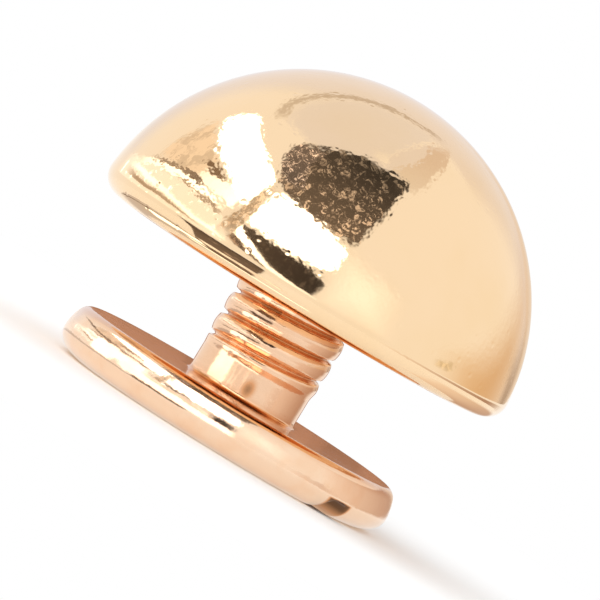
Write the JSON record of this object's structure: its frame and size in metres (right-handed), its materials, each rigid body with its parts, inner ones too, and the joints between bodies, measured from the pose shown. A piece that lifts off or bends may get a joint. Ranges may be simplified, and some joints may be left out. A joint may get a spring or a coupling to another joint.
{
  "type": "mushroom rivet",
  "caption": "Screw-back mushroom rivet: a domed gold cap threads onto a slotted screw with a flat round head and clamps leather or webbing between them.",
  "frame": {"origin": "centre of the bottom of the part's box, in the middle of the screw head's foot", "axes": "+Z along the shared axis of the screw and the cap, towards the top of the dome; +X along the screwdriver slot"},
  "size_m": [0.011, 0.011, 0.0094],
  "materials": {
    "screw_gold": "rose-gold plating over brass, polished, with soft waves",
    "cap_gold": "pale gold plating over brass, mirror polished, with a fine grain"
  },
  "bodies": {
    "screw": {"slotted_screw": "screw_gold"},
    "cap": {"domed_cap": "cap_gold"}
  },
  "joints": [
    {"name": "cap_unscrew", "type": "slide", "parent": "screw", "child": "cap", "axis": [0, 0, 1], "range_m": [-0.00171, 0.00285]}
  ]
}
